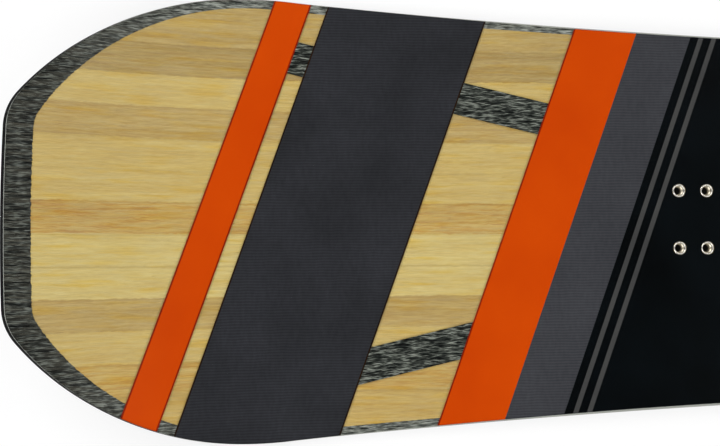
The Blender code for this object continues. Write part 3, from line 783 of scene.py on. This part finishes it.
def build_border_cloth():
    """Fibre cloth over the border, its inner edge frayed along the board by up to half a millimetre."""
    outline = both_ends(quadrant(FRAY_FINENESS))
    fray = np.random.default_rng(7).uniform(-1.0, 1.0, (2, len(outline)))
    outer, inner = sidewall_top_inset(outline) + CLOTH_OFFSET, border_width(outline) + CLOTH_OFFSET
    at_tip = tip_share(outline)
    for number, (way, side) in enumerate(SIDES):
        x, y = inset(outline, np.array((outer, outer, inner, inner)))
        x[2:] += TIP_FRAY * fray[number] * at_tip
        y[2:] -= SIDE_FRAY * np.abs(fray[number]) * (1 - at_tip)
        height = core_top(x) + np.array((CLOTH_FOOT, CLOTH_TOP, CLOTH_TOP, CLOTH_FOOT))[:, None]
        rings = bend(x, side * np.maximum(y, BOND / 2), height).transpose(1, 0, 2)
        loft("frayed_border_cloth_" + way, rings, [BORDER_CLOTH], "grey_fibre")


def wood_half_width(x):
    """Half width of the core at x, read off its outline."""
    return np.interp(np.abs(x), WOOD_X, WOOD_Y)


def wood_reach(y):
    """How far along the board the core reaches at a distance y from the centre line."""
    tip_part = WOOD_X > SIDECUT_END
    return np.interp(y, WOOD_Y[tip_part][::-1], WOOD_X[tip_part][::-1])


def stations(first, cut, last):
    """Places along the board in coarse steps, and in fine ones from where the outline cuts a strip."""
    even = np.linspace(first, cut, max(int((cut - first) / STRIP_STEP), 8))
    return np.concatenate((even, np.linspace(cut, last, max(int((last - cut) / STRIP_END_STEP), 12))[1:]))


def strip_grid(x, y_inner, y_outer):
    """Plan grid of a strip: y runs from its inner side to its outer side or the core's outline."""
    outer = np.clip(np.minimum(y_outer, wood_half_width(x)), y_inner, None)
    share = np.linspace(0.0, 1.0, STRIP_COLUMNS)
    y = y_inner + (outer - y_inner)[:, None] * share
    return x[:, None] + 0 * y, y


def add_wood(name, x, y, replaced):
    """Piece of the core over a plan grid, from the core's foot to its upper face."""
    return slab(name, x, y, level(CORE_FOOT), core_top, [POPLAR], "poplar_core", [replaced])


def build_core():
    """Strips glued edge to edge, and four wedges where the core is wider than they reach."""
    half = STRIP_WIDTH / 2
    x = stations(0.0, wood_reach(half), WOOD_X[-1])
    x = np.concatenate((-x[:0:-1], x))
    grid = plan_grid(x, np.minimum(half, wood_half_width(x)), CENTRE_STRIP_COLUMNS)
    add_wood("poplar_strip_centre", *grid, "core_strip_centre")
    outermost = half + STRIPS_EACH_SIDE * STRIP_WIDTH
    search = np.linspace(0.0, SIDECUT_END, WEDGE_SEARCH_POINTS)
    start = search[wood_half_width(search) - outermost >= WEDGE_LEAST_WIDTH][0]
    for way, side in SIDES:
        for number in range(1, STRIPS_EACH_SIDE + 1):
            outer = half + number * STRIP_WIDTH
            inner = outer - STRIP_WIDTH
            x = stations(0.0, wood_reach(outer), wood_reach(inner))
            limit = outer
            # Up to where its wedge starts, the outermost strip reaches to the border.
            if number == STRIPS_EACH_SIDE:
                x = np.sort(np.append(x, (start - BOND, start)))
                limit = np.where(x < start, 1.0, outer)
                limit = np.concatenate((limit[:0:-1], limit))
            x = np.concatenate((-x[:0:-1], x))
            grid_x, grid_y = strip_grid(x, inner, limit)
            strip = add_wood(f"poplar_strip_{way}_{number}", grid_x, side * grid_y,
                             f"core_strip_{way}_{number}")
            if number == 1:
                bore(strip)
        for end, sign in ENDS:
            reach = stations(start, SIDECUT_END, wood_reach(outermost))
            grid_x, grid_y = strip_grid(reach, outermost, 1.0)
            add_wood(f"poplar_wedge_{end}_{way}", sign * grid_x, side * grid_y,
                     f"core_wedge_{end}_{way}")


def insert_places():
    """CAD name and place of each insert."""
    return [
        (f"insert_{end}_{way}_{column + 1}",
         sign * STANCE_WIDTH / 2 + (column - (INSERT_COLUMNS - 1) / 2) * INSERT_COLUMN_SPACING,
         side * INSERT_ROW_SPACING / 2)
        for end, sign in ENDS for way, side in SIDES for column in range(INSERT_COLUMNS)
    ]


def turned(profile, segments):
    """Turned shape: each (radius, height) of the profile carried round in a full circle."""
    angle = np.linspace(0.0, 2 * math.pi, segments, endpoint=False)
    radius, height = np.asarray(profile).T
    return np.stack((
        radius[:, None] * np.cos(angle), radius[:, None] * np.sin(angle), height[:, None] + 0 * angle,
    ), -1)


def bore_cutter():
    """Stepped hole of each insert, open above and below, as one mesh without a material."""
    step = CORE_FOOT + INSERT_FLANGE_THICKNESS + BOND
    seat, barrel = INSERT_FLANGE_RADIUS + BOND, INSERT_BARREL_RADIUS + BOND
    profile = ((seat, CUTTER_FOOT), (seat, step), (barrel, step), (barrel, CUTTER_TOP))
    shape = turned(profile, BORE_SEGMENTS)
    rows, count, _ = shape.shape
    quads, ends = ring_faces(rows, count)
    faces, points = [], []
    for number, (_, x, y) in enumerate(insert_places()):
        points.append(shape.reshape(-1, 3) + (x, y, 0.0))
        shift = number * rows * count
        faces += (quads + shift).tolist() + (ends + shift).tolist()
    return add_piece("bore_cutter", np.concatenate(points), faces, [], np.zeros(len(faces)), None, ())


def take_out(piece, cutter):
    """Take a cutter's shape out of a piece and keep the result as its mesh."""
    modifier = piece.modifiers.new("cut", "BOOLEAN")
    modifier.operation, modifier.solver, modifier.object = "DIFFERENCE", "EXACT", cutter
    graph = bpy.context.evaluated_depsgraph_get()
    mesh = bpy.data.meshes.new_from_object(piece.evaluated_get(graph))
    piece.modifiers.clear()
    piece.data = mesh
    shade(mesh)


def bore(piece):
    """Open a piece round every insert."""
    take_out(piece, BORES)


def build_inserts():
    """Inserts turned from bar: wide flange, barrel with a rounded lip, and a blind bore.

    The profile runs from the foot's middle up the outside, over the lip and down the bore. The lip is
    half a circle and the bore is plain at its mouth. Below that, a thread goes to and fro between
    crest and root every half pitch."""
    length = float(core_top(0.0)) + TOPSHEET_TOP - INSERT_RECESS - CORE_FOOT
    lip = np.linspace(0.0, math.pi, LIP_POINTS)
    lip_middle = INSERT_BARREL_RADIUS - INSERT_LIP_RADIUS
    thread_top, floor = length - INSERT_COUNTERBORE_DEPTH, length - INSERT_BORE_DEPTH
    drop = np.arange(0.0, thread_top - floor, THREAD_PITCH / 2)
    flange_reach, eased = INSERT_FLANGE_RADIUS, INSERT_FLANGE_RADIUS - INSERT_EASING
    outside = np.array((
        (0.0, 0.0), (eased, 0.0), (flange_reach, INSERT_EASING),
        (flange_reach, INSERT_FLANGE_THICKNESS - INSERT_EASING), (eased, INSERT_FLANGE_THICKNESS),
        (INSERT_BARREL_RADIUS, INSERT_FLANGE_THICKNESS),
    ))
    mouth = INSERT_LIP_RADIUS * np.column_stack((np.cos(lip), np.sin(lip) - 1)) + (lip_middle, length)
    mouth = np.vstack((mouth, (mouth[-1, 0], thread_top + INSERT_EASING)))
    crest_or_root = np.where(np.arange(len(drop)) % 2, THREAD_CREST_RADIUS, THREAD_ROOT_RADIUS)
    thread = np.column_stack((crest_or_root, thread_top - drop))
    bottom = ((THREAD_CREST_RADIUS, floor), (0.0, floor - 2 * INSERT_EASING))
    profile = np.vstack((outside, mouth, thread, bottom))
    # Parts of the profile: pale steel outside and over the lip, the thread in darker steel as painted shade,
    # and the bore's floor near-black as painted shade.
    part = np.repeat((0, 1, 2), (len(outside) + len(mouth) - 1, len(thread), 2))[:len(profile) - 1]
    shape = turned(profile, INSERT_SEGMENTS)
    for name, x, y in insert_places():
        loft(name.replace("insert", "threaded_insert"), shape + (x, y, CORE_FOOT),
             [INSERT_STEEL, SHADED_THREAD_STEEL, BORE_PAINTED_SHADE], "insert_steel", [name], part[:, None])


def band_grid(clearance):
    """Plan grid of the tail's left band: along its centre line, and square to it by its half width."""
    run = BAND_OUTER - BAND_INNER
    length = np.hypot(*run)
    along, aside = run / length, np.array((-run[1], run[0])) / length
    u = np.linspace(-clearance, length + clearance, BAND_STATIONS)[:, None, None]
    v = (np.linspace(-1.0, 1.0, BAND_COLUMNS) * (BAND_WIDTH / 2 + clearance))[None, :, None]
    grid = BAND_INNER + u * along + v * aside
    return grid[..., 0], grid[..., 1]


def build_sheets():
    """Base, lower glass, upper glass with its inlaid bands, and topsheet."""
    slab("sintered_base", *board_grid(EDGE_WIDTH + BOND), level(0.0), level(BASE_THICKNESS), [SINTERED],
         "running_base", ["base"])
    slab("lower_laminate", *board_grid(EDGE_WIDTH + EDGE_FLANGE_REACH + BOND), level(LOWER_GLASS_FOOT),
         level(EDGE_HEIGHT), [LOWER_LAMINATE], "glass_laminate", ["lower_glass"])
    top_inset = sidewall_top_inset(LEFT_OUTLINE)
    glass = slab("upper_laminate", *board_grid(top_inset), above_core(UPPER_GLASS_FOOT),
                 above_core(UPPER_GLASS_TOP), [LAMINATE, FROSTED_AND_HIGHLIT_CUT], "glass_laminate", ["upper_glass"])
    bore(glass)
    x, y = band_grid(0.0)
    slot_x, slot_y = band_grid(BOND)
    for end, sign in ENDS:
        for way, side in SIDES:
            cutter = slab("band_slot", sign * slot_x, side * slot_y, above_core(SLOT_MARGIN),
                          above_core(TOPSHEET_FOOT - SLOT_MARGIN), [], None)
            take_out(glass, cutter)
            bpy.data.objects.remove(cutter)
            slab(f"fibre_band_{end}_{way}", sign * x, side * y, above_core(UPPER_GLASS_FOOT),
                 above_core(UPPER_GLASS_TOP), [BAND_CLOTH[sign * side]], "grey_fibre",
                 [f"diagonal_band_{end}_{way}"])
    bore(slab("clear_topsheet", *board_grid(top_inset), above_core(TOPSHEET_FOOT),
              above_core(TOPSHEET_TOP), [TOPSHEET, FROSTED_AND_HIGHLIT_CUT], "topsheet", ["topsheet"]))


def bar_grid(first, last):
    """Slanted bar: x runs from first to last and leans with y, and y ends where x meets the outline."""
    start = np.linspace(first, last, max(int((last - first) / PRINT_STEP), 3))
    above = below = np.full(len(start), WAIST_WIDTH / 2)
    for _ in range(ROUNDS):
        above = np.interp(np.abs(start + PRINT_SLANT * above), PRINT_X, PRINT_Y)
        below = np.interp(np.abs(start - PRINT_SLANT * below), PRINT_X, PRINT_Y)
    y = -below + (above + below) * np.linspace(0.0, 1.0, PRINT_COLUMNS)[:, None]
    return start + PRINT_SLANT * y, y


def add_film(name, finish_name, first, last, height):
    """Film of ink over a slanted bar, opened round the inserts if it comes near to any."""
    film = slab(name, *bar_grid(first, last), above_core(height), above_core(height + INK_THICKNESS),
                [INKS[finish_name]], "topsheet")
    if any(first - NEAR_INSERT < x < last + NEAR_INSERT for _, x, _ in insert_places()):
        bore(film)


def build_print():
    """Slanted bars at the nose, turned half round for the tail, with keylines that are partly painted shadow,
    and pinstripes.
    """
    for end, sign in (("nose", 1), ("tail", -1)):
        for name, finish_name, *ends in PRINT_BARS:
            first, last = sorted(sign * x for x in ends)
            add_film(f"print_{name}_{end}", finish_name, first, last, PRINT_FOOT)
            # Orange and charcoal bars get a keyline under them, partly print and partly painted shadow round
            # their edges.
            keyline_and_shadow = {"orange": "red", "charcoal": "brown"}.get(finish_name)
            if keyline_and_shadow:
                add_film(f"keyline_{name}_{end}", keyline_and_shadow, first - KEYLINE_AND_SHADOW_WIDTH, last + KEYLINE_AND_SHADOW_WIDTH,
                         PRINT_FOOT - INK_STEP)
        for number, start in enumerate(PINSTRIPES):
            first, last = sorted((sign * start, sign * (start + PINSTRIPE_WIDTH)))
            add_film(f"pinstripe_{end}_{number + 1}", "grey", first, last, PRINT_FOOT + INK_STEP)
    name, finish_name, first, last = PRINT_MIDDLE
    add_film("print_" + name, finish_name, first, last, PRINT_FOOT)


def build_stage():
    """White floor: it keeps a soft shadow, and is brightened only for what sees it directly.

    Further out than the shadow it turns wholly white, so that it has no visible far end."""
    corners = [(x * FLOOR_HALF_SIZE, y * FLOOR_HALF_SIZE, -FLOOR_DROP)
               for x, y in ((-1, -1), (1, -1), (1, 1), (-1, 1))]
    material, tree, place = new_material("white_studio_floor")
    path = node(tree, "ShaderNodeLightPath")
    seen = path.outputs["Is Camera Ray"]
    for ray in ("Is Glossy Ray", "Is Transmission Ray"):
        seen = node(tree, "ShaderNodeMath", {0: seen, 1: path.outputs[ray]}, operation="MAXIMUM").outputs[0]
    reach = node(tree, "ShaderNodeVectorMath", {0: place}, operation="LENGTH").outputs["Value"]
    white_share = node(tree, "ShaderNodeMapRange", {"Value": reach},
                       {"From Min": GLOW_START, "From Max": GLOW_END, "To Min": GLOW_NEAR_BOARD}).outputs[0]
    share = node(tree, "ShaderNodeMath", {0: seen, 1: white_share}, operation="MULTIPLY").outputs[0]
    matt = node(tree, "ShaderNodeBsdfDiffuse", values={"Color": (0.98, 0.98, 0.98, 1.0)})
    white = node(tree, "ShaderNodeEmission", values={"Strength": 1.0})
    finish(material, node(tree, "ShaderNodeMixShader", {0: share, 1: matt.outputs[0], 2: white.outputs[0]}))
    mesh = bpy.data.meshes.new("studio_floor")
    mesh.from_pydata(corners, [], [(0, 1, 2, 3)])
    mesh.materials.append(material)
    floor = add_object("studio_floor", mesh)


def build_light():
    """Backdrop white at the horizon, grey just above it, bright at 30 degrees and dark overhead.

    The grey keeps the topsheet's sheen low from the sides. Four soft lamps stand round the board."""
    world = bpy.data.worlds.new("studio")
    bpy.context.scene.world = world
    world.use_nodes = True
    tree = world.node_tree
    tree.nodes.clear()
    way = node(tree, "ShaderNodeTexCoord").outputs["Generated"]
    rise = node(tree, "ShaderNodeSeparateXYZ", {"Vector": way}).outputs["Z"]
    sky = node(tree, "ShaderNodeValToRGB", {"Fac": rise},
               stops=((0.0, "#FFFFFF"), (0.13, "#FFFFFF"), (0.20, "#A8A8A8"), (0.30, "#B0B0B0"),
                      (0.48, "#F2F2F2"), (0.75, "#8A8A8A"), (0.92, "#3C3C3C")))
    background = node(tree, "ShaderNodeBackground", {"Color": sky.outputs[0]}, {"Strength": 1.0})
    node(tree, "ShaderNodeOutputWorld", {"Surface": background.outputs[0]})
    for number, (azimuth, watts) in enumerate(LAMPS):
        lamp = bpy.data.lights.new(f"soft_lamp_{number + 1}", "AREA")
        lamp.energy, lamp.size = watts, LAMP_SIZE
        holder = add_object(lamp.name, lamp)
        angle = math.radians(azimuth)
        holder.location = (
            LAMP_DISTANCE * math.cos(LAMP_RISE) * math.cos(angle),
            LAMP_DISTANCE * math.cos(LAMP_RISE) * math.sin(angle),
            LAMP_DISTANCE * math.sin(LAMP_RISE),
        )
        holder.rotation_euler = (math.pi / 2 - LAMP_RISE, 0.0, angle + math.pi / 2)


def build_camera():
    """Camera almost straight above the nose's end, as in the photograph."""
    lens = bpy.data.cameras.new("camera")
    lens.lens, lens.sensor_width = CAMERA_LENS, CAMERA_SENSOR
    lens.clip_start = 0.01
    camera = add_object("camera", lens)
    camera.location = CAMERA_PLACE
    camera.rotation_euler = CAMERA_TURN
    bpy.context.scene.camera = camera


build_camera()
bpy.context.scene.view_settings.view_transform = "Standard"
build_stage()
build_light()
BORES = bore_cutter()
build_sheets()
build_rims()
build_border_cloth()
build_core()
build_inserts()
build_print()
bpy.data.objects.remove(BORES)
